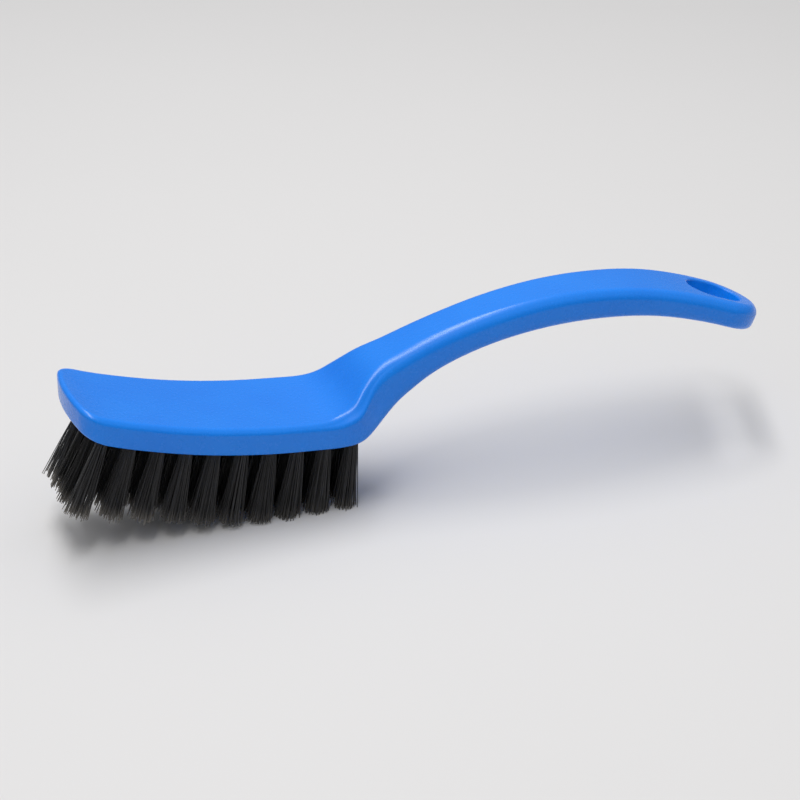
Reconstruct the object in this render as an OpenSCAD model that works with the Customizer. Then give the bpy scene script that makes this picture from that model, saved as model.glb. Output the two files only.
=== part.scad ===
// Grout brush: one moulded body (curved head block and bow-shaped handle with a hang eye),
// forty black bristle tufts in four lengthwise rows, and the flat-wire anchors that hold them.
// Millimetres. +X runs from the head to the handle, +Y across, +Z up.
// The brush stands on the flat ends of its rear tufts at z = 0, with the front of the head lifted.

/* [Head block] */
// Width of the head block
block_w = 44; // [43:0.5:46]
// Thickness of the head block
block_t = 9.7; // [9.4:0.1:11]
// Radius of the head block's upper edge
block_edge_r = 2.3; // [1.5:0.1:3]
// Radius of the upright corners at the front end
block_corner_r = 9; // [6:0.5:11]
// Radius of the slight bow of the front end, seen from above
block_bow_r = 60; // [50:5:120]

/* [Handle] */
// Width of the handle at its waist
waist_w = 22; // [19:0.5:25]
// Thickness of the handle at the middle of its bow
grip_t = 11.8; // [10.8:0.1:13.5]
// Width of the handle's flat end
end_w = 29.8; // [28.5:0.1:32]
// Thickness of the handle's flat end
end_t = 9.4; // [8.8:0.1:11]
// Length of the rounded tip, along the handle
tip_len = 17.5; // [15:0.5:19]

/* [Hang eye] */
// Length of the hang eye, along the handle
eye_len = 21.5; // [19:0.5:22]
// Width of the hang eye
eye_w = 17; // [12:0.5:18.5]

/* [Tufts] */
// Distance between neighbouring tufts in a row
pitch = 9.95; // [9.6:0.05:10]
// Distance between neighbouring rows
row_gap = 8.5; // [8.5:0.1:9.5]
// Diameter of a tuft hole
hole_d = 4.2; // [3.4:0.1:4.4]
// Depth of a tuft hole
hole_deep = 7.4; // [6.5:0.1:7.6]
// Diameter of a tuft at its trimmed end
tip_d = 8.6; // [6:0.1:8.6]
// Outward lean of the two outer rows, in degrees
splay = 2; // [0.5:0.25:3]

/* [Anchors] */
// Length of an anchor
anchor_len = 5.2; // [4.9:0.1:5.6]
// Thickness of an anchor's flat wire
anchor_t = 0.4; // [0.3:0.05:0.6]
// Height of an anchor's flat wire
anchor_h = 1.8; // [1.4:0.1:2]

/* [Hidden] */

blue = [0.10, 0.36, 0.86];
black = [0.06, 0.06, 0.065];
steel = [0.75, 0.75, 0.77];

// The stations below count x from a datum in the head; this brings the middle
// of the whole brush to x = 0.
x_off = 94;

// Control stations of the body's sweep, front end to handle tip:
// [x, mid-height z, thickness, width, side edge radius, lower edge radius, section lean 0..1,
//  ridge radius, fillet radius, slopes at which the fillet starts and ends]
// The top's edge rises on the side edge radius up to the first slope, hollows out over the
// fillet radius to the second slope, and rounds over the ridge radius into the flat top. With
// equal radii and nearly equal slopes that is one plain quarter round.
re = block_edge_r;
function round_edge(r) = [r, 1, 42, 48];
stations = [
    concat([-35.8, 52.25, block_t,     block_w,        re,  1.0, 0.0], round_edge(re)),
    concat([-28, 47.65, block_t,       block_w,        re,  1.0, 0.0], round_edge(re)),
    concat([-14, 43.15, block_t,       block_w,        re,  1.0, 0.0], round_edge(re)),
    concat([  2, 38.75, block_t,       block_w,        re,  1.0, 0.0], round_edge(re)),
    concat([ 18, 35.55, block_t,       block_w,        re,  1.0, 0.0], round_edge(re)),
    concat([ 34, 33.35, block_t,       block_w,        re,  1.0, 0.0], round_edge(re)),
    concat([ 46, 32.40, block_t,       block_w,        re,  1.2, 0.0], round_edge(re)),
    [ 53, 31.75, block_t + 0.4, block_w - 0.2,  2.3, 1.6, 0.0,  2.8,  4, 38, 47],
    [ 59, 32.35, block_t + 2.6, block_w - 1.0,  2.3, 2.0, 0.1,  4.4, 11, 30, 41],
    [ 64, 34.00, block_t + 5.4, block_w - 2.9,  2.2, 2.2, 0.3,  4.6, 13, 40, 54],
    [ 69, 37.25, 16.1,          waist_w + 10.2, 2.5, 2.6, 0.5,  4.2,  6, 48, 62],
    [ 75, 41.90, 16.5,          waist_w + 4,    3.8, 3.0, 0.7,  4.6,  3, 44, 55],
    concat([ 82, 45.00, 14.8,          waist_w + 1.6,  4.8, 3.6, 0.9], round_edge(4.8)),
    concat([ 91, 49.45, 13.3,          waist_w,        4.8, 4.0, 1.0], round_edge(4.8)),
    concat([104, 53.85, 12.2,          waist_w - 0.5,  4.5, 4.0, 1.0], round_edge(4.5)),
    concat([120, 57.85, grip_t - 0.1,  waist_w,        4.2, 4.0, 1.0], round_edge(4.2)),
    concat([140, 60.40, grip_t,        waist_w + 0.5,  3.8, 4.0, 1.0], round_edge(3.8)),
    concat([160, 60.45, grip_t - 0.5,  waist_w + 2,    3.6, 4.0, 1.0], round_edge(3.6)),
    concat([180, 58.40, 10.4,          end_w - 2.8,    3.5, 4.0, 1.0], round_edge(3.5)),
    concat([197, 53.75, end_t + 0.3,   end_w - 0.4,    3.6, 3.8, 1.0], round_edge(3.6)),
    concat([210, 49.20, end_t,         end_w,          3.9, 3.2, 1.0], round_edge(3.9)),
    concat([220, 44.85, end_t + 0.2,   end_w,          3.7, 2.8, 1.0], round_edge(3.7)),
    concat([224.9, 42.65, end_t + 0.3, end_w,          3.4, 2.6, 1.0], round_edge(3.4))
];
last = len(stations) - 1;

// Station k of the list, carried on in a straight line past both ends
function st(k) = k < 0 ? 2 * stations[0] - stations[1]
               : k > last ? 2 * stations[last] - stations[last - 1]
               : stations[k];

// Smooth cubic through the stations' frame (uniform B-spline), and its slope
function seg(t) = min(last - 1, max(0, floor(t)));
function spl(t) = let (i = seg(t), u = t - i)
    (pow(1 - u, 3) * st(i - 1) + (3 * pow(u, 3) - 6 * u * u + 4) * st(i)
     + (-3 * pow(u, 3) + 3 * u * u + 3 * u + 1) * st(i + 1) + pow(u, 3) * st(i + 2)) / 6;
function dspl(t) = let (i = seg(t), u = t - i)
    (-pow(1 - u, 2) * st(i - 1) + (3 * u * u - 4 * u) * st(i)
     + (-3 * u * u + 2 * u + 1) * st(i + 1) + u * u * st(i + 2)) / 2;

// Length along the mid-line against the spline's own parameter
steps = 12 * last;
mid = [for (k = [0 : steps]) let (p = spl(k / 12)) [p[0], p[1]]];
run = [for (k = 0, s = 0; k <= steps;
            s = s + (k < steps ? norm(mid[k + 1] - mid[k]) : 0), k = k + 1) s];
total = run[steps];
s_to_t = [for (k = [0 : steps]) [run[k], k / 12]];
x_to_t = [for (k = [0 : steps]) [mid[k][0], k / 12]];

// Plan of the front end: a bowed end of radius block_bow_r, a corner arc, then the side
cy = block_w / 2 - block_corner_r;
cs = block_bow_r - sqrt(pow(block_bow_r - block_corner_r, 2) - cy * cy);
ca = asin(cy / (block_bow_r - block_corner_r));

// Half width given up to the rounded front end at distance s from it
function front_lost(s) = s >= cs ? 0
    : s > cs - block_corner_r * cos(ca)
        ? block_corner_r - sqrt(block_corner_r * block_corner_r - (cs - s) * (cs - s))
        : block_w / 2 - sqrt(block_bow_r * block_bow_r - pow(block_bow_r - s, 2));

// Distance in from the plan outline, for a point at length s and |y| = y where the half width is a0
function inset(s, y, a0) = let (d = total - s)
    d < tip_len ? let (u = tip_len - d, ro = norm([u / tip_len, y / a0]))
        (ro < 0.01 ? tip_len : (1 - ro) / ro * norm([u, y]))
    : s < cs ? (y > cy && atan2(y - cy, cs - s) > ca
                    ? block_corner_r - norm([cs - s, y - cy])
                    : min(block_bow_r - norm([block_bow_r - s, y]), a0 - y + 0.01 * s))
    : a0 - y;

// Where the rings of the sweep stand: close together in the rounded ends
mid_n = 54;
tip_n = 11;
rings = concat(
    [for (y = [2.6, 6, 9.5, 13]) block_bow_r - sqrt(block_bow_r * block_bow_r - y * y)],
    [for (k = [0 : 6]) cs - block_corner_r * cos(ca + (90 - ca) * k / 7)],
    [for (k = [0 : mid_n - 1]) cs + (total - tip_len - cs) * k / mid_n],
    [for (k = [0 : tip_n]) total - tip_len * (1 - cos(90 - 86 * k / tip_n))]
);

// Height lost at distance d from an edge of radius r
function lost(d, r) = d <= 0 ? r : d < r ? r - sqrt(max(0, r * r - (r - d) * (r - d))) : 0;

// The top's edge: arc of radius a up to slope g1, hollow fillet of radius c up to slope g2,
// arc of radius b over into the flat. Its width, its height, and its height at distance e in.
function top_w(a, b, c, g1, g2) = a * (1 - sin(g1)) + c * (sin(g2) - sin(g1)) + b * sin(g2);
function top_h(a, b, c, g1, g2) = a * cos(g1) + c * (cos(g1) - cos(g2)) + b * (1 - cos(g2));
function top_rise(e, a, b, c, g1, g2) = let (
    e1 = a * (1 - sin(g1)), e2 = e1 + c * (sin(g2) - sin(g1)), w = top_w(a, b, c, g1, g2))
    e <= 0 ? 0
    : e < e1 ? sqrt(max(0, a * a - (a - e) * (a - e)))
    : e < e2 ? (a + c) * cos(g1) - sqrt(max(0, c * c - pow(e - e1 + c * sin(g1), 2)))
    : e < w ? top_h(a, b, c, g1, g2) - b + sqrt(max(0, b * b - (w - e) * (w - e)))
    : top_h(a, b, c, g1, g2);

// One ring of the body at distance s from the front end, from the right side over the top,
// down the left side and back underneath
function ring(s) = let (
    p = spl(lookup(s, s_to_t)), q = dspl(lookup(s, s_to_t)),
    tilt = atan2(q[1], q[0]) * p[6], d = total - s,
    a0 = p[3] / 2,
    a = d < tip_len ? a0 * sqrt(max(0, 1 - pow((tip_len - d) / tip_len, 2))) : a0 - front_lost(s),
    ra = p[4], rb = p[7], c = p[8], g1 = p[9], g2 = p[10], r = p[5],
    tw = top_w(ra, rb, c, g1, g2),
    k1 = min(1, 0.9 * a / tw), k2 = min(1, 0.9 * a / r),
    e1 = concat([for (t = [0, 0.36, 0.7]) k1 * ra * (1 - cos((90 - g1) * t))],
                [for (t = [0, 0.5]) k1 * (ra * (1 - sin(g1)) + c * (sin(g1 + (g2 - g1) * t) - sin(g1)))],
                [for (t = [1, 0.75, 0.5, 0.25, 0]) k1 * (tw - rb * sin(g2 * t))]),
    e2 = [for (g = [90 : -18 : 0]) k2 * r * (1 - cos(g))],
    yt = a - e1[9], yb = a - e2[0],
    ys = concat([for (e = e1) a - e], [for (m = [0.66, 0.33, 0, -0.33, -0.66]) m * yt],
                [for (k = [9 : -1 : 0]) e1[k] - a]),
    yu = concat([for (k = [5 : -1 : 0]) e2[k] - a], [0], [for (e = e2) a - e]))
    concat([for (y = ys) let (w = p[2] / 2 - top_h(ra, rb, c, g1, g2) + top_rise(inset(s, abs(y), a0), ra, rb, c, g1, g2))
                [p[0] - sin(tilt) * w, y, p[1] + cos(tilt) * w]],
           [for (y = yu) let (w = lost(inset(s, abs(y), a0), r) - p[2] / 2)
                [p[0] - sin(tilt) * w, y, p[1] + cos(tilt) * w]]);

ring_n = 38;

// Underside of the head at datum x, and the head's slope there
function under(x) = let (p = spl(lookup(x, x_to_t))) p[1] - p[2] / 2;
function slope(x) = (under(x + 0.5) - under(x - 0.5));

// Roots of the ten tuft stations, stepped off along the underside from the rear one
rear_x = 62.6;
function root_x(k) = k <= 0 ? rear_x
    : let (x = root_x(k - 1), g = atan(slope(x - pitch / 2))) x - pitch * cos(g);
roots = [for (k = [0 : 9]) root_x(9 - k)];

// Place across the brush of row r (0 to 3)
function tuft_y(r) = (r - 1.5) * row_gap;
// Lean of a tuft towards the front, in degrees
function lean(x) = 8 + 11 * (rear_x - x) / 90;

// The bristles are trimmed to a shallow arc; under the brush's own weight the
// rear ones stand flat on the floor
trim_x = 47;
trim_r = 198;
function trim(x) = x > trim_x ? 0
    : max(0, trim_r - 0.5 - sqrt(trim_r * trim_r - (trim_x - x) * (trim_x - x)));
function trim_g(x) = trim(x) > 0 ? asin((trim_x - x) / trim_r) : 0;
free_len = 27.5;
mouth = 0.4;

// Moves children to a tuft's root, with -Z along the bristles
module at_tuft(r, i) {
    x = roots[i - 1];
    translate([x - x_off, tuft_y(r), under(x)])
        rotate([splay * (r - 1.5) / 1.5, lean(x), 0]) children();
}

// Flat-wire anchor, driven across its hole so that both ends bite the block
module anchor_shape() {
    translate([-anchor_t / 2, -anchor_len / 2, hole_deep - 1.7 - anchor_h])
        cube([anchor_t, anchor_len, anchor_h]);
}

module sweep() {
    pts = [for (s = rings) for (p = ring(s)) p - [x_off, 0, 0]];
    n = ring_n;
    m = len(rings);
    polyhedron(points = pts, faces = concat(
        [for (k = [0 : m - 2]) for (j = [0 : n - 1])
            [k * n + (j + 1) % n, k * n + j, (k + 1) * n + j]],
        [for (k = [0 : m - 2]) for (j = [0 : n - 1])
            [(k + 1) * n + (j + 1) % n, k * n + (j + 1) % n, (k + 1) * n + j]],
        [[for (j = [0 : n - 1]) j]],
        [[for (j = [n - 1 : -1 : 0]) (m - 1) * n + j]]), convexity = 6);
}

// Straight slot with round ends, through the flat end of the handle
eye_t = lookup(total - 19.1, s_to_t);
module hang_eye() {
    p = spl(eye_t);
    q = dspl(eye_t);
    translate([p[0] - x_off, 0, p[1]]) rotate([0, -atan2(q[1], q[0]), 0]) {
        for (e = [-1, 1]) translate([e * (eye_len - eye_w) / 2, 0, -12])
            cylinder(d = eye_w, h = 24, $fn = 64);
        translate([-(eye_len - eye_w) / 2, -eye_w / 2, -12])
            cube([eye_len - eye_w, eye_w, 24]);
    }
}

module brush_body() {
    color(blue) difference() {
        sweep();
        for (r = [0 : 3]) for (i = [1 : 10]) at_tuft(r, i) {
            translate([0, 0, -2.5]) cylinder(d = hole_d, h = hole_deep + 2.5, $fn = 48);
            anchor_shape();
        }
        hang_eye();
    }
}

// One tuft: the bundle fills its hole round the anchor, fans out below the block
// and is trimmed to the arc
module tuft(r, i) {
    x = roots[i - 1];
    xt = x - sin(lean(x)) * free_len;
    color(black) difference() {
        intersection() {
            at_tuft(r, i) {
                translate([0, 0, -mouth]) cylinder(d = hole_d, h = hole_deep + mouth, $fn = 48);
                translate([0, 0, -free_len - 3])
                    cylinder(d1 = hole_d + (tip_d - hole_d) * (free_len + 3) / free_len,
                             d2 = hole_d, h = free_len + 3 - mouth, $fn = 48);
            }
            translate([xt - x_off, 0, trim(xt)]) rotate([0, trim_g(xt), 0])
                translate([-40, -40, 0]) cube([80, 80, 80]);
            translate([x - x_off - 40, -40, 0]) cube([80, 80, 80]);
        }
        at_tuft(r, i) anchor_shape();
    }
}

// The anchors of one row: separate, identical pieces of wire
module tuft_anchors(r) {
    color(steel) for (i = [1 : 10]) at_tuft(r, i) anchor_shape();
}

brush_body();
tuft(0, 1);  // tuft_a01
tuft(0, 2);  // tuft_a02
tuft(0, 3);  // tuft_a03
tuft(0, 4);  // tuft_a04
tuft(0, 5);  // tuft_a05
tuft(0, 6);  // tuft_a06
tuft(0, 7);  // tuft_a07
tuft(0, 8);  // tuft_a08
tuft(0, 9);  // tuft_a09
tuft(0, 10);  // tuft_a10
tuft(1, 1);  // tuft_b01
tuft(1, 2);  // tuft_b02
tuft(1, 3);  // tuft_b03
tuft(1, 4);  // tuft_b04
tuft(1, 5);  // tuft_b05
tuft(1, 6);  // tuft_b06
tuft(1, 7);  // tuft_b07
tuft(1, 8);  // tuft_b08
tuft(1, 9);  // tuft_b09
tuft(1, 10);  // tuft_b10
tuft(2, 1);  // tuft_c01
tuft(2, 2);  // tuft_c02
tuft(2, 3);  // tuft_c03
tuft(2, 4);  // tuft_c04
tuft(2, 5);  // tuft_c05
tuft(2, 6);  // tuft_c06
tuft(2, 7);  // tuft_c07
tuft(2, 8);  // tuft_c08
tuft(2, 9);  // tuft_c09
tuft(2, 10);  // tuft_c10
tuft(3, 1);  // tuft_d01
tuft(3, 2);  // tuft_d02
tuft(3, 3);  // tuft_d03
tuft(3, 4);  // tuft_d04
tuft(3, 5);  // tuft_d05
tuft(3, 6);  // tuft_d06
tuft(3, 7);  // tuft_d07
tuft(3, 8);  // tuft_d08
tuft(3, 9);  // tuft_d09
tuft(3, 10);  // tuft_d10
tuft_anchors(0);  // tuft_anchors_row_a
tuft_anchors(1);  // tuft_anchors_row_b
tuft_anchors(2);  // tuft_anchors_row_c
tuft_anchors(3);  // tuft_anchors_row_d
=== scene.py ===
import math

import bmesh
import bpy
import numpy as np
from mathutils import Matrix, Vector
from mathutils.bvhtree import BVHTree


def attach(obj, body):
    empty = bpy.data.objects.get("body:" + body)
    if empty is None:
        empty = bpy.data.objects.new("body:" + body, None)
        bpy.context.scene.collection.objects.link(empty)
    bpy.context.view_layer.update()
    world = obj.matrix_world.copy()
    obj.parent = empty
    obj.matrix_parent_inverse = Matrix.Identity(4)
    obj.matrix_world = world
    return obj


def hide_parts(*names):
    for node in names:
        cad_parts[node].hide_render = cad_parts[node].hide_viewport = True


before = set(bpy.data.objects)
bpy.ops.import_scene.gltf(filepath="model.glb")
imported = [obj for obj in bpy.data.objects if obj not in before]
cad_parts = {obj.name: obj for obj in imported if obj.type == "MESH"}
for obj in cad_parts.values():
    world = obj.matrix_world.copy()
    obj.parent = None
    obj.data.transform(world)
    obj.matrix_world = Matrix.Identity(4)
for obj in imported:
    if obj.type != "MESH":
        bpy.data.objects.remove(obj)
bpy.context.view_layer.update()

scene = bpy.context.scene

# ---------------------------------------------------------------- camera
CAM_AIM = Vector((-0.0090, 0.0, 0.0305))
CAM_AZ, CAM_EL, CAM_DIST = math.radians(-20.77), math.radians(26.0), 0.784
cam_data = bpy.data.cameras.new("camera")
cam = bpy.data.objects.new("camera", cam_data)
scene.collection.objects.link(cam)
look = Vector((-math.sin(CAM_AZ) * math.cos(CAM_EL), math.cos(CAM_AZ) * math.cos(CAM_EL), -math.sin(CAM_EL)))
cam.location = CAM_AIM - look * CAM_DIST
cam.rotation_euler = look.to_track_quat("-Z", "Y").to_euler()
cam_data.sensor_width = 36.0
cam_data.lens = 99.0
cam_data.clip_start = 0.02
cam_data.clip_end = 50.0
cam_data.dof.use_dof = False
scene.camera = cam

# ---------------------------------------------------------------- the part's own numbers, in millimetres
MM = 0.001
BLOCK_W, BLOCK_T, EDGE_R, CORNER_R, BOW_R = 44.0, 9.7, 2.3, 9.0, 60.0
WAIST_W, GRIP_T, END_W, END_T, TIP_LEN = 22.0, 11.8, 29.8, 9.4, 17.5
EYE_LEN, EYE_W, EYE_BACK = 21.5, 17.0, 19.1
PITCH, ROW_GAP, HOLE_D, HOLE_DEEP, SPLAY = 9.95, 8.5, 4.2, 7.4, 2.0
X_OFF, REAR_X, TRIM_X, TRIM_R, FREE_LEN = 94.0, 62.6, 47.0, 198.0, 27.5
# x, mid-height z, thickness, width, side edge radius, lower edge radius, section lean,
# ridge radius, fillet radius, slopes where the fillet starts and ends


def round_edge(r):
    return [r, 1, 42, 48]


STATIONS = np.array([
    [-35.8, 52.25, BLOCK_T, BLOCK_W, EDGE_R, 1.0, 0.0] + round_edge(EDGE_R),
    [-28, 47.65, BLOCK_T, BLOCK_W, EDGE_R, 1.0, 0.0] + round_edge(EDGE_R),
    [-14, 43.15, BLOCK_T, BLOCK_W, EDGE_R, 1.0, 0.0] + round_edge(EDGE_R),
    [2, 38.75, BLOCK_T, BLOCK_W, EDGE_R, 1.0, 0.0] + round_edge(EDGE_R),
    [18, 35.55, BLOCK_T, BLOCK_W, EDGE_R, 1.0, 0.0] + round_edge(EDGE_R),
    [34, 33.35, BLOCK_T, BLOCK_W, EDGE_R, 1.0, 0.0] + round_edge(EDGE_R),
    [46, 32.40, BLOCK_T, BLOCK_W, EDGE_R, 1.2, 0.0] + round_edge(EDGE_R),
    [53, 31.75, BLOCK_T + 0.4, BLOCK_W - 0.2, 2.3, 1.6, 0.0, 2.8, 4, 38, 47],
    [59, 32.35, BLOCK_T + 2.6, BLOCK_W - 1.0, 2.3, 2.0, 0.1, 4.4, 11, 30, 41],
    [64, 34.00, BLOCK_T + 5.4, BLOCK_W - 2.9, 2.2, 2.2, 0.3, 4.6, 13, 40, 54],
    [69, 37.25, 16.1, WAIST_W + 10.2, 2.5, 2.6, 0.5, 4.2, 6, 48, 62],
    [75, 41.90, 16.5, WAIST_W + 4, 3.8, 3.0, 0.7, 4.6, 3, 44, 55],
    [82, 45.00, 14.8, WAIST_W + 1.6, 4.8, 3.6, 0.9] + round_edge(4.8),
    [91, 49.45, 13.3, WAIST_W, 4.8, 4.0, 1.0] + round_edge(4.8),
    [104, 53.85, 12.2, WAIST_W - 0.5, 4.5, 4.0, 1.0] + round_edge(4.5),
    [120, 57.85, GRIP_T - 0.1, WAIST_W, 4.2, 4.0, 1.0] + round_edge(4.2),
    [140, 60.40, GRIP_T, WAIST_W + 0.5, 3.8, 4.0, 1.0] + round_edge(3.8),
    [160, 60.45, GRIP_T - 0.5, WAIST_W + 2, 3.6, 4.0, 1.0] + round_edge(3.6),
    [180, 58.40, 10.4, END_W - 2.8, 3.5, 4.0, 1.0] + round_edge(3.5),
    [197, 53.75, END_T + 0.3, END_W - 0.4, 3.6, 3.8, 1.0] + round_edge(3.6),
    [210, 49.20, END_T, END_W, 3.9, 3.2, 1.0] + round_edge(3.9),
    [220, 44.85, END_T + 0.2, END_W, 3.7, 2.8, 1.0] + round_edge(3.7),
    [224.9, 42.65, END_T + 0.3, END_W, 3.4, 2.6, 1.0] + round_edge(3.4),
], float)
LAST = len(STATIONS) - 1
EXT = np.vstack([2 * STATIONS[0] - STATIONS[1], STATIONS, 2 * STATIONS[-1] - STATIONS[-2]])


def spline(t):
    """Uniform cubic B-spline through the stations' frame: values and slope at each t."""
    t = np.atleast_1d(np.asarray(t, float))
    i = np.clip(np.floor(t).astype(int), 0, LAST - 1)
    u = (t - i)[:, None]
    p0, p1, p2, p3 = EXT[i], EXT[i + 1], EXT[i + 2], EXT[i + 3]
    p = ((1 - u) ** 3 * p0 + (3 * u ** 3 - 6 * u * u + 4) * p1 + (-3 * u ** 3 + 3 * u * u + 3 * u + 1) * p2 + u ** 3 * p3) / 6
    q = (-(1 - u) ** 2 * p0 + (3 * u * u - 4 * u) * p1 + (-3 * u * u + 2 * u + 1) * p2 + u * u * p3) / 2
    return p, q


T_FINE = np.linspace(0, LAST, 40 * LAST + 1)
MID = spline(T_FINE)[0][:, :2]
RUN = np.concatenate([[0], np.cumsum(np.hypot(*np.diff(MID, axis=0).T))])
TOTAL = RUN[-1]


def under(x):
    """Height of the head's underside at datum x."""
    p = spline(np.interp(x, MID[:, 0], T_FINE))[0]
    return p[:, 1] - p[:, 2] / 2


def lost(d, r):
    """Height given up at distance d in from an edge of radius r."""
    return np.where(d <= 0, r, np.where(d < r, r - np.sqrt(np.maximum(0, r * r - (r - d) ** 2)), 0.0))


CORNER_Y = BLOCK_W / 2 - CORNER_R
CORNER_S = BOW_R - math.sqrt((BOW_R - CORNER_R) ** 2 - CORNER_Y ** 2)
CORNER_G = math.asin(CORNER_Y / (BOW_R - CORNER_R))


def front_lost(s):
    """Half width given up to the bowed front end and its corners."""
    arc = CORNER_R - np.sqrt(np.maximum(0, CORNER_R ** 2 - (CORNER_S - s) ** 2))
    bow = BLOCK_W / 2 - np.sqrt(np.maximum(0, BOW_R ** 2 - (BOW_R - s) ** 2))
    return np.where(s >= CORNER_S, 0, np.where(s > CORNER_S - CORNER_R * math.cos(CORNER_G), arc, bow))


def inset(s, y, a0):
    """Distance in from the plan outline at length s and half-breadth y, where the half width is a0."""
    d = TOTAL - s
    u = TIP_LEN - d
    ro = np.hypot(u / TIP_LEN, y / a0)
    tip = np.where(ro < 0.01, TIP_LEN, (1 - ro) / np.maximum(ro, 0.01) * np.hypot(u, y))
    corner = CORNER_R - np.hypot(CORNER_S - s, y - CORNER_Y)
    end = np.minimum(BOW_R - np.hypot(BOW_R - s, y), a0 - y + 0.01 * s)
    in_corner = (y > CORNER_Y) & (np.arctan2(y - CORNER_Y, CORNER_S - s) > CORNER_G)
    return np.where(d < TIP_LEN, tip, np.where(s < CORNER_S, np.where(in_corner, corner, end), a0 - y))


def sn(g):
    return np.sin(np.radians(g))


def cn(g):
    return np.cos(np.radians(g))


def top_w(a, b, c, g1, g2):
    return a * (1 - sn(g1)) + c * (sn(g2) - sn(g1)) + b * sn(g2)


def top_h(a, b, c, g1, g2):
    return a * cn(g1) + c * (cn(g1) - cn(g2)) + b * (1 - cn(g2))


def top_rise(e, a, b, c, g1, g2):
    """Height of the top's edge at distance e in: side arc, hollow fillet, ridge arc, then flat."""
    e1 = a * (1 - sn(g1))
    e2 = e1 + c * (sn(g2) - sn(g1))
    w, h = top_w(a, b, c, g1, g2), top_h(a, b, c, g1, g2)
    v1 = np.sqrt(np.maximum(0, a ** 2 - (a - e) ** 2))
    v2 = a * cn(g1) + c * cn(g1) - np.sqrt(np.maximum(0, c ** 2 - (e - e1 + c * sn(g1)) ** 2))
    v3 = h - b + np.sqrt(np.maximum(0, b ** 2 - (w - e) ** 2))
    return np.where(e <= 0, 0, np.where(e < e1, v1, np.where(e < e2, v2, np.where(e < w, v3, h))))


ARC_1, FILLET_N, ARC_2, TOP_N, LOW_N, BOTTOM_N, SIDE_N = 7, 6, 7, 36, 8, 26, 4


def ring_points(s):
    """Rings of the body at lengths s: (n, k, 3) in datum millimetres, and the place along the girth."""
    p, q = spline(np.interp(s, RUN, T_FINE))
    tilt = np.arctan2(q[:, 1], q[:, 0]) * p[:, 6]
    s = np.asarray(s, float)[:, None]
    d = TOTAL - s
    thick, a0, ra, r = p[:, 2:3], p[:, 3:4] / 2, p[:, 4:5], p[:, 5:6]
    rb, c, g1, g2 = p[:, 7:8], p[:, 8:9], p[:, 9:10], p[:, 10:11]
    edge = (ra, rb, c, g1, g2)
    a = np.where(d < TIP_LEN, a0 * np.sqrt(np.maximum(0, 1 - ((TIP_LEN - d) / TIP_LEN) ** 2)), a0 - front_lost(s))
    k1 = np.minimum(1, 0.9 * a / top_w(*edge))
    k2 = np.minimum(1, 0.9 * a / r)
    cols = [k1 * ra * (1 - cn((90 - g1) * t)) for t in np.arange(ARC_1) / ARC_1]
    cols += [k1 * (ra * (1 - sn(g1)) + c * (sn(g1 + (g2 - g1) * t) - sn(g1))) for t in np.arange(FILLET_N) / FILLET_N]
    cols += [k1 * (top_w(*edge) - rb * sn(g2 * (1 - t))) for t in np.arange(ARC_2 + 1) / ARC_2]
    e1 = np.concatenate(cols, 1)
    e2 = np.concatenate([k2 * r * (1 - math.cos(g)) for g in np.linspace(math.pi / 2, 0, LOW_N + 1)], 1)
    yt, yb = a - e1[:, -1:], a - e2[:, :1]
    top = np.concatenate([a - e1, yt * np.linspace(1, -1, TOP_N + 1)[None, 1:-1], (e1 - a)[:, ::-1]], 1)
    low = np.concatenate([(e2 - a)[:, ::-1], yb * np.linspace(-1, 1, BOTTOM_N + 1)[None, 1:-1], a - e2], 1)
    wt = thick / 2 - top_h(*edge) + top_rise(inset(s, np.abs(top), a0), *edge)
    wl = lost(inset(s, np.abs(low), a0), r) - thick / 2
    side = np.arange(1, SIDE_N)[None] / SIDE_N
    left = wt[:, -1:] * (1 - side) + wl[:, :1] * side
    right = wl[:, -1:] * (1 - side) + wt[:, :1] * side
    y = np.concatenate([top, np.repeat(-a, SIDE_N - 1, 1), low, np.repeat(a, SIDE_N - 1, 1)], 1)
    w = np.concatenate([wt, left, wl, right], 1)
    x = p[:, :1] - np.sin(tilt)[:, None] * w
    z = p[:, 1:2] + np.cos(tilt)[:, None] * w
    girth = np.concatenate([np.zeros((len(s), 1)), np.cumsum(np.hypot(np.diff(y, axis=1), np.diff(w, axis=1)), 1)], 1)
    return np.stack([x, y, z], -1), girth


# ---------------------------------------------------------------- materials
def lin(r, g, b):
    return tuple((c / 255 / 12.92 if c / 255 <= 0.04045 else ((c / 255 + 0.055) / 1.055) ** 2.4) for c in (r, g, b)) + (1.0,)


def new_material(name):
    m = bpy.data.materials.new(name)
    m.use_nodes = True
    nt = m.node_tree
    nt.nodes.clear()
    out = nt.nodes.new("ShaderNodeOutputMaterial")
    b = nt.nodes.new("ShaderNodeBsdfPrincipled")
    nt.links.new(b.outputs["BSDF"], out.inputs["Surface"])
    return m, nt, b


def node(nt, kind, **values):
    n = nt.nodes.new(kind)
    for k, v in values.items():
        if k in n.inputs:
            n.inputs[k].default_value = v
        else:
            setattr(n, k, v)
    return n


def noise(nt, vec, scale, detail=2.0, rough=0.5):
    n = node(nt, "ShaderNodeTexNoise")
    n.inputs["Scale"].default_value = scale
    n.inputs["Detail"].default_value = detail
    n.inputs["Roughness"].default_value = rough
    nt.links.new(vec, n.inputs["Vector"])
    return n.outputs["Fac"]


def ramp_range(nt, fac, a, b, lo=0.3, hi=0.7):
    n = node(nt, "ShaderNodeMapRange")
    n.inputs["From Min"].default_value = lo
    n.inputs["From Max"].default_value = hi
    n.inputs["To Min"].default_value = a
    n.inputs["To Max"].default_value = b
    nt.links.new(fac, n.inputs["Value"])
    return n.outputs["Result"]


def mix_colour(nt, fac, c1, c2):
    n = nt.nodes.new("ShaderNodeMix")
    n.data_type = "RGBA"
    nt.links.new(fac, n.inputs[0])
    for k, c in ((6, c1), (7, c2)):
        if isinstance(c, tuple):
            n.inputs[k].default_value = c
        else:
            nt.links.new(c, n.inputs[k])
    return n.outputs[2]


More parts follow.
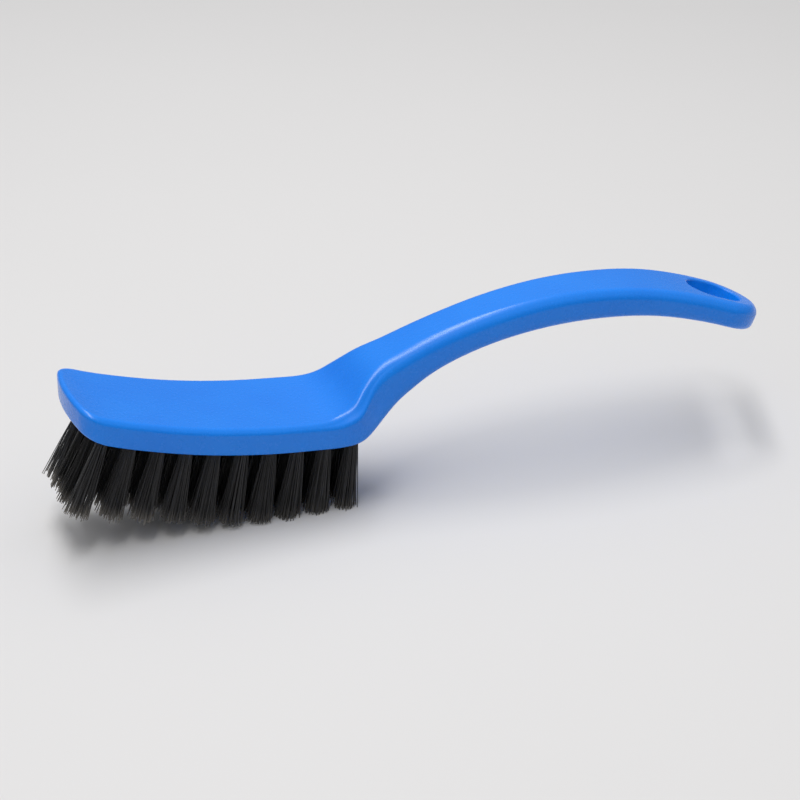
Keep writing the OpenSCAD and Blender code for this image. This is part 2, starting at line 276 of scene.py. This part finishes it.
def bump(nt, height, strength, distance, below=None):
    n = nt.nodes.new("ShaderNodeBump")
    n.inputs["Strength"].default_value = strength
    n.inputs["Distance"].default_value = distance
    nt.links.new(height, n.inputs["Height"])
    if below is not None:
        nt.links.new(below, n.inputs["Normal"])
    return n.outputs["Normal"]


def body_material():
    m, nt, b = new_material("body_plastic_blue")
    tc = nt.nodes.new("ShaderNodeTexCoord").outputs["Object"]
    uv = nt.nodes.new("ShaderNodeUVMap")
    uv.uv_map = "sweep"
    cloud = noise(nt, tc, 38.0, 2.0)
    base = mix_colour(nt, ramp_range(nt, cloud, 0.0, 1.0), lin(4, 124, 235), lin(9, 130, 240))
    nt.links.new(base, b.inputs["Base Color"])
    # roughness: satin, a little uneven
    nt.links.new(ramp_range(nt, noise(nt, tc, 420.0, 3.0, 0.6), 0.255, 0.285), b.inputs["Roughness"])
    # fine eroded grain of the mould, then faint draw marks that run along the sweep
    stretch = nt.nodes.new("ShaderNodeMapping")
    stretch.inputs["Scale"].default_value = (8.0, 1500.0, 1.0)
    nt.links.new(uv.outputs["UV"], stretch.inputs["Vector"])
    draw = noise(nt, stretch.outputs["Vector"], 1.0, 2.0, 0.55)
    grain = noise(nt, tc, 2200.0, 1.0, 0.5)
    peel = noise(nt, tc, 260.0, 1.0)
    n1 = bump(nt, peel, 0.015, 0.0004)
    n2 = bump(nt, draw, 0.06, 0.0002, n1)
    n3 = bump(nt, grain, 0.05, 0.00012, n2)
    nt.links.new(n3, b.inputs["Normal"])
    b.inputs["IOR"].default_value = 1.49
    b.inputs["Specular IOR Level"].default_value = 0.42
    return m


def bristle_material():
    m, nt, b = new_material("bristle_black")
    at = nt.nodes.new("ShaderNodeAttribute")
    at.attribute_name = "strand"
    sep = nt.nodes.new("ShaderNodeSeparateColor")
    nt.links.new(at.outputs["Color"], sep.inputs["Color"])
    tc = nt.nodes.new("ShaderNodeTexCoord").outputs["Object"]
    body = mix_colour(nt, sep.outputs["Red"], lin(22, 22, 23), lin(52, 52, 54))
    speck = noise(nt, tc, 700.0, 2.0)
    body = mix_colour(nt, ramp_range(nt, speck, 0.0, 0.35), body, lin(66, 66, 68))
    # painted shade: the two inner rows lie between the outer ones, so their colour is darkened to almost black to
    # stand in for the shade there
    body = mix_colour(nt, sep.outputs["Blue"], body, lin(13, 13, 14))
    body = mix_colour(nt, sep.outputs["Green"], body, lin(124, 119, 112))
    nt.links.new(body, b.inputs["Base Color"])
    nt.links.new(ramp_range(nt, speck, 0.36, 0.52), b.inputs["Roughness"])
    nt.links.new(bump(nt, noise(nt, tc, 5000.0, 1.0), 0.1, 0.00005), b.inputs["Normal"])
    b.inputs["IOR"].default_value = 1.5
    return m


def steel_material():
    m, nt, b = new_material("anchor_steel")
    tc = nt.nodes.new("ShaderNodeTexCoord").outputs["Object"]
    mp = nt.nodes.new("ShaderNodeMapping")
    mp.inputs["Scale"].default_value = (1.0, 0.05, 1.0)
    nt.links.new(tc, mp.inputs["Vector"])
    lines = noise(nt, mp.outputs["Vector"], 6000.0, 3.0)
    nt.links.new(mix_colour(nt, lines, lin(168, 168, 172), lin(206, 206, 208)), b.inputs["Base Color"])
    nt.links.new(ramp_range(nt, lines, 0.25, 0.42), b.inputs["Roughness"])
    nt.links.new(bump(nt, lines, 0.15, 0.00005), b.inputs["Normal"])
    b.inputs["Metallic"].default_value = 1.0
    return m


def floor_material():
    m, nt, b = new_material("studio_floor")
    tc = nt.nodes.new("ShaderNodeTexCoord").outputs["Object"]
    soft = noise(nt, tc, 3.0, 2.0)
    nt.links.new(mix_colour(nt, soft, lin(217, 216, 216), lin(220, 219, 219)), b.inputs["Base Color"])
    nt.links.new(ramp_range(nt, noise(nt, tc, 60.0, 2.0), 0.75, 0.85), b.inputs["Roughness"])
    b.inputs["Specular IOR Level"].default_value = 0.15
    return m


PLASTIC, BRISTLE, STEEL, FLOOR = body_material(), bristle_material(), steel_material(), floor_material()


# ---------------------------------------------------------------- the moulded body
def mesh_from(name, verts, faces, smooth=True):
    me = bpy.data.meshes.new(name)
    me.from_pydata([tuple(v) for v in verts], [], [tuple(int(i) for i in f) for f in faces])
    if smooth:
        me.shade_smooth()
    me.update()
    return me


def link(name, me):
    o = bpy.data.objects.new(name, me)
    scene.collection.objects.link(o)
    return o


def build_body():
    bow_y = np.concatenate([[0.5, 1.0, 1.6, 2.3, 3.1, 4.0], np.linspace(5, CORNER_Y * BOW_R / (BOW_R - CORNER_R) - 0.4, 11)])
    front = BOW_R - np.sqrt(BOW_R ** 2 - bow_y ** 2)
    corner = CORNER_S - CORNER_R * np.cos(CORNER_G + (math.pi / 2 - CORNER_G) * np.arange(20) / 20)
    middle = CORNER_S + (TOTAL - TIP_LEN - CORNER_S) * np.arange(300) / 300
    tip = TOTAL - TIP_LEN * (1 - np.cos(np.radians(90 - 88.6 * np.arange(37) / 36)))
    s = np.concatenate([front, corner, middle, tip])
    pts, girth = ring_points(s)
    n, k = pts.shape[:2]
    pts = pts.copy()
    pts[..., 0] -= X_OFF
    verts = pts.reshape(-1, 3) * MM
    faces = []
    for i in range(n - 1):
        for j in range(k):
            j2 = (j + 1) % k
            faces.append((i * k + j, i * k + j2, (i + 1) * k + j2, (i + 1) * k + j))
    faces = [f[::-1] for f in faces]
    # flat caps: the front face, and the tiny end of the tip
    faces.append(tuple(range(k)))
    faces.append(tuple((n - 1) * k + j for j in range(k))[::-1])
    me = mesh_from("brush_body_shell", verts, faces)
    uv = me.uv_layers.new(name="sweep")
    lay = np.zeros((len(me.loops), 2), np.float32)
    vi = np.zeros(len(me.loops), np.int32)
    me.loops.foreach_get("vertex_index", vi)
    lay[:, 0] = np.repeat(s, k)[vi] * MM
    lay[:, 1] = girth.reshape(-1)[vi] * MM
    uv.data.foreach_set("uv", lay.reshape(-1))
    bm = bmesh.new()
    bm.from_mesh(me)
    bmesh.ops.recalc_face_normals(bm, faces=bm.faces)
    bm.to_mesh(me)
    bm.free()
    return link("brush_body_shell", me)


def eye_cutter(shell):
    """A plug for the hang eye whose ends flare along the handle's surface, so that the cut leaves rounded rims."""
    t = np.interp(TOTAL - EYE_BACK, RUN, T_FINE)
    p, q = spline(t)
    p, q = p[0], q[0]
    ang = math.atan2(q[1], q[0])
    m = Matrix.Translation(Vector((p[0] - X_OFF, 0, p[1])) * MM) @ Matrix.Rotation(-ang, 4, "Y")
    inv = m.inverted()
    tree = BVHTree.FromPolygons([inv @ v.co for v in shell.data.vertices], [tuple(f.vertices) for f in shell.data.polygons])
    n, r_eye, half = 144, EYE_W / 2 * MM, (EYE_LEN - EYE_W) / 2 * MM
    flare, steps = 0.8 * MM, 8
    contour = []
    for k in range(n):
        a = 2 * math.pi * (k + 0.5) / n
        c, s_ = math.cos(a), math.sin(a)
        contour.append((Vector((half * (1 if c > 0 else -1) + r_eye * c, r_eye * s_, 0)), Vector((c, s_, 0))))
    rows = []

    def surface(x, y, up):
        hit = tree.ray_cast(Vector((x, y, 0.03 * up)), Vector((0, 0, -up)))
        return hit[0].z if hit[0] is not None else 0.004 * up

    for up in (-1, 1):
        half_rows = []
        for e in range(steps + 1):
            g = math.radians(84 * e / steps)
            row = []
            for c, nrm in contour:
                off = flare * (1 - math.cos(g))
                q_ = c + nrm * off
                h = surface(q_.x, q_.y, up)
                row.append(Vector((q_.x, q_.y, h - up * flare * (1 - math.sin(g)))))
            half_rows.append(row)
        last = half_rows[-1]
        half_rows.append([v + nrm * 0.25 * MM + Vector((0, 0, up * 6 * MM)) for v, (c, nrm) in zip(last, contour)])
        rows = rows + half_rows if up > 0 else half_rows[::-1]
    verts = [v for row in rows for v in row]
    faces = []
    for i in range(len(rows) - 1):
        for j in range(n):
            j2 = (j + 1) % n
            faces.append((i * n + j, i * n + j2, (i + 1) * n + j2, (i + 1) * n + j))
    faces.append(tuple(range(n))[::-1])
    faces.append(tuple((len(rows) - 1) * n + j for j in range(n)))
    me = mesh_from("eye_cutter", [m @ v for v in verts], faces)
    return link("eye_cutter", me)


ROW_NAMES = "abcd"
ROOTS = [REAR_X]
for _ in range(9):
    x0 = ROOTS[-1]
    g0 = float(under(x0 - PITCH / 2 + 0.5)[0] - under(x0 - PITCH / 2 - 0.5)[0])
    ROOTS.append(x0 - PITCH * math.cos(math.atan(g0)))
ROOTS = ROOTS[::-1]
TUFTS = []
for r in range(4):
    for i in range(1, 11):
        x = ROOTS[i - 1]
        lean = 8 + 11 * (REAR_X - x) / 90
        root = Vector((x - X_OFF, (r - 1.5) * ROW_GAP, float(under(x)[0])))
        m = Matrix.Translation(root) @ Matrix.Rotation(math.radians(lean), 4, "Y") @ Matrix.Rotation(math.radians(SPLAY * (r - 1.5) / 1.5), 4, "X")
        TUFTS.append((f"tuft_{ROW_NAMES[r]}{i:02d}", r, i, x, m))


def trim(x):
    """Height of the trimmed bristle ends above the floor at datum x."""
    d = np.maximum(0, TRIM_X - np.asarray(x, float))
    return np.maximum(0, TRIM_R - 0.5 - np.sqrt(TRIM_R * TRIM_R - d * d))


def hole_cutters():
    """Forty blind holes with a slightly broken rim."""
    n = 28
    prof = [(0.0, HOLE_DEEP + 0.9), (HOLE_D / 2, HOLE_DEEP), (HOLE_D / 2, 0.35), (HOLE_D / 2 + 0.12, 0.12), (HOLE_D / 2 + 0.42, -0.2), (HOLE_D / 2 + 0.6, -2.5)]
    verts, faces = [], []
    for _, _, _, _, m in TUFTS:
        b0 = len(verts)
        verts.append(m @ Vector((0, 0, prof[0][1])) * MM)
        for rad, z in prof[1:]:
            for k in range(n):
                a = 2 * math.pi * k / n
                verts.append(m @ Vector((rad * math.cos(a), rad * math.sin(a), z)) * MM)
        for k in range(n):
            k2 = (k + 1) % n
            faces.append((b0, b0 + 1 + k2, b0 + 1 + k))
            for e in range(len(prof) - 2):
                a, b = b0 + 1 + e * n, b0 + 1 + (e + 1) * n
                faces.append((a + k, a + k2, b + k2, b + k))
        faces.append(tuple(b0 + 1 + (len(prof) - 2) * n + k for k in range(n))[::-1])
    me = mesh_from("hole_cutters", verts, faces)
    bm = bmesh.new()
    bm.from_mesh(me)
    bmesh.ops.recalc_face_normals(bm, faces=bm.faces)
    bm.to_mesh(me)
    bm.free()
    return link("hole_cutters", me)


def apply_booleans(obj, cutters):
    for c in cutters:
        mod = obj.modifiers.new("cut", "BOOLEAN")
        mod.operation = "DIFFERENCE"
        mod.object = c
        mod.solver = "MANIFOLD"
    dg = bpy.context.evaluated_depsgraph_get()
    me = bpy.data.meshes.new_from_object(obj.evaluated_get(dg), preserve_all_data_layers=True, depsgraph=dg)
    obj.modifiers.clear()
    obj.data = me
    for c in cutters:
        bpy.data.objects.remove(c)


shell = build_body()
apply_booleans(shell, [eye_cutter(shell), hole_cutters()])
body = shell
body.name = "body_moulding"
body.data.name = "body_moulding"
body.data.materials.clear()
body.data.materials.append(PLASTIC)
body.data.shade_smooth()
body.data.set_sharp_from_angle(angle=math.radians(38))
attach(body, "root")
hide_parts("brush_body")


# ---------------------------------------------------------------- the tufts: every filament on its own
SIDES, SEGS = 5, 6
FIL_R = 0.165
FILAMENTS = 112
FAN_R = 5.1
SWEPT = {1: 2.8, 2: 1.5, 3: 0.6}
LONGER = {1: 3.6, 2: 1.9, 3: 0.7}


def disc(n, rng, radius):
    """n points packed in a disc, sunflower order with a little jitter."""
    k = np.arange(n) + 0.5
    r = radius * np.sqrt(k / n)
    a = k * math.pi * (3 - math.sqrt(5)) + rng.uniform(0, 2 * math.pi)
    j = rng.normal(0, radius * 0.035, (n, 2))
    return np.stack([r * np.cos(a), r * np.sin(a)], 1) + j


def build_tuft(name, row, idx, x_datum, m, seed):
    rng = np.random.default_rng(seed)
    n = FILAMENTS
    rot = np.array(m.to_3x3())
    org = np.array(m.translation)
    start = disc(n, rng, HOLE_D / 2 - FIL_R - 0.08)
    # a filament keeps its place in the bundle as the tuft opens towards its tip
    grow = (FAN_R - FIL_R - 0.1) / (HOLE_D / 2 - FIL_R - 0.08)
    scale = grow * (0.80 + 0.20 * rng.beta(2.0, 1.4, n))
    end = start * scale[:, None] + rng.normal(0, 0.30, (n, 2))
    lim = FAN_R - FIL_R
    rr = np.hypot(*end.T)
    end *= np.minimum(1, lim / np.maximum(rr, 1e-6))[:, None]
    # the foremost tufts are swept forward by use
    end += (rot.T @ np.array([-1.0, 0.0, 0.0]))[:2] * SWEPT.get(idx, 0.0) * rng.uniform(0.75, 1.15, n)[:, None]
    bow = rng.normal(0, 0.22, (n, 2))
    base_z = 1.6
    # where each filament meets the trimmed arc
    length = np.full(n, FREE_LEN)
    for _ in range(12):
        tip = org + np.concatenate([end * (length / FREE_LEN)[:, None], -length[:, None]], 1) @ rot.T
        goal = trim(tip[:, 0] + X_OFF) - LONGER.get(idx, 0.0)
        length = length + (tip[:, 2] - goal) / abs(rot[2, 2])
    short = np.abs(rng.normal(0, 0.28 + 0.35 * (idx <= 3) + 0.3 * (trim(x_datum) > 2), n)) + (rng.random(n) < 0.05) * rng.uniform(0.5, 1.6, n)
    short = np.minimum(short, 2.4)
    length = length - short - 0.04
    verts = np.zeros((n, SEGS + 1, SIDES, 3))
    for e in range(SEGS + 1):
        f = e / SEGS
        z = base_z + (-length - base_z) * f
        open_ = np.clip(-z / FREE_LEN, 0, 1.2)
        c = start + (end - start) * (open_ ** 1.04)[:, None] + bow * (np.sin(np.pi * np.clip(open_, 0, 1)))[:, None] * (open_ > 0)[:, None]
        rad = FIL_R * (1.0 - 0.12 * f)
        for k in range(SIDES):
            a = 2 * math.pi * k / SIDES
            q = np.stack([c[:, 0] + rad * math.cos(a), c[:, 1] + rad * math.sin(a), z], 1)
            verts[:, e, k] = org + q @ rot.T
    verts[..., 2] = np.maximum(verts[..., 2], 0.005)
    per = (SEGS + 1) * SIDES
    v = verts.reshape(-1, 3) * MM
    quads = []
    for e in range(SEGS):
        for k in range(SIDES):
            k2 = (k + 1) % SIDES
            quads.append((e * SIDES + k, e * SIDES + k2, (e + 1) * SIDES + k2, (e + 1) * SIDES + k))
    quads = np.array(quads)[:, ::-1]
    caps = np.array([[SEGS * SIDES + k for k in range(SIDES)], [k for k in range(SIDES)][::-1]])[:, ::-1]
    off = (np.arange(n) * per)[:, None, None]
    q_all = (quads[None] + off).reshape(-1, 4)
    c_all = (caps[None] + off).reshape(-1, SIDES)
    me = bpy.data.meshes.new(name + "_bristles")
    loops = np.concatenate([q_all.reshape(-1), c_all.reshape(-1)]).astype(np.int32)
    counts = np.concatenate([np.full(len(q_all), 4), np.full(len(c_all), SIDES)])
    starts = np.concatenate([[0], np.cumsum(counts)[:-1]]).astype(np.int32)
    me.vertices.add(len(v))
    me.vertices.foreach_set("co", v.astype(np.float32).reshape(-1))
    me.loops.add(len(loops))
    me.loops.foreach_set("vertex_index", loops)
    me.polygons.add(len(counts))
    me.polygons.foreach_set("loop_start", starts)
    me.update(calc_edges=True)
    me.validate()
    me.shade_smooth()
    me.set_sharp_from_angle(angle=math.radians(80))
    col = me.color_attributes.new("strand", "FLOAT_COLOR", "POINT")
    shade = np.repeat(rng.random(n) ** 1.3, per)
    cut = np.zeros((n, SEGS + 1, SIDES))
    cut[:, SEGS] = ((0.5 if idx <= 3 else 0.1) + 0.5 * rng.random(n))[:, None]
    # painted shade: marks the two inner rows, whose colour the material darkens to stand in for the shade between the
    # outer rows
    inner_row_painted_shade = np.full(n * per, 1.0 if row in (1, 2) else 0.0)
    data = np.stack([shade, cut.reshape(-1), inner_row_painted_shade, np.ones(n * per)], 1).astype(np.float32)
    col.data.foreach_set("color", data.reshape(-1))
    me.materials.append(BRISTLE)
    return link(name + "_bristles", me)


for k, (name, row, idx, x, m) in enumerate(TUFTS):
    o = build_tuft(name, row, idx, x, m, 4100 + k)
    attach(o, "root")
    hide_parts(name)

# ---------------------------------------------------------------- carried-over nodes
for r in ROW_NAMES:
    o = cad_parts[f"tuft_anchors_row_{r}"]
    o.data.materials.clear()
    o.data.materials.append(STEEL)

# ---------------------------------------------------------------- floor and light
fm = mesh_from("studio_floor", [(-6, -6, 0), (6, -6, 0), (6, 6, 0), (-6, 6, 0)], [(0, 1, 2, 3)], smooth=False)
fm.materials.append(FLOOR)
floor = link("studio_floor", fm)
floor.location.z = -0.00002


def area_light(name, loc, aim, size, power, colour=(1, 1, 1)):
    d = bpy.data.lights.new(name, "AREA")
    d.shape = "RECTANGLE"
    d.size, d.size_y = size
    d.energy = power
    d.color = colour
    o = bpy.data.objects.new(name, d)
    scene.collection.objects.link(o)
    o.location = loc
    o.rotation_euler = (Vector(aim) - Vector(loc)).to_track_quat("-Z", "Y").to_euler()
    return o


area_light("key_softbox", (-0.10, 0.03, 1.15), (-0.02, 0.0, 0.03), (1.5, 0.15), 9.9)
area_light("left_fill", (-1.3, -0.5, 0.9), (0.0, 0.0, 0.03), (0.9, 0.9), 1.2)

# a plain white studio, brighter overhead than low down
world = bpy.data.worlds.new("studio")
scene.world = world
world.use_nodes = True
wt = world.node_tree
bg = wt.nodes["Background"]
sky = wt.nodes.new("ShaderNodeVectorMath")
sky.operation = "DOT_PRODUCT"
sky.inputs[1].default_value = (0.04, 0.03, 0.60)
wt.links.new(wt.nodes.new("ShaderNodeTexCoord").outputs["Generated"], sky.inputs[0])
wt.links.new(ramp_range(wt, sky.outputs["Value"], 0.11, 1.11, 0.0, 1.0), bg.inputs["Strength"])
bg.inputs["Color"].default_value = (1.0, 1.0, 1.0, 1.0)

scene.view_settings.view_transform = "Standard"
scene.view_settings.look = "None"
scene.view_settings.exposure = 0.0
scene.view_settings.gamma = 1.0
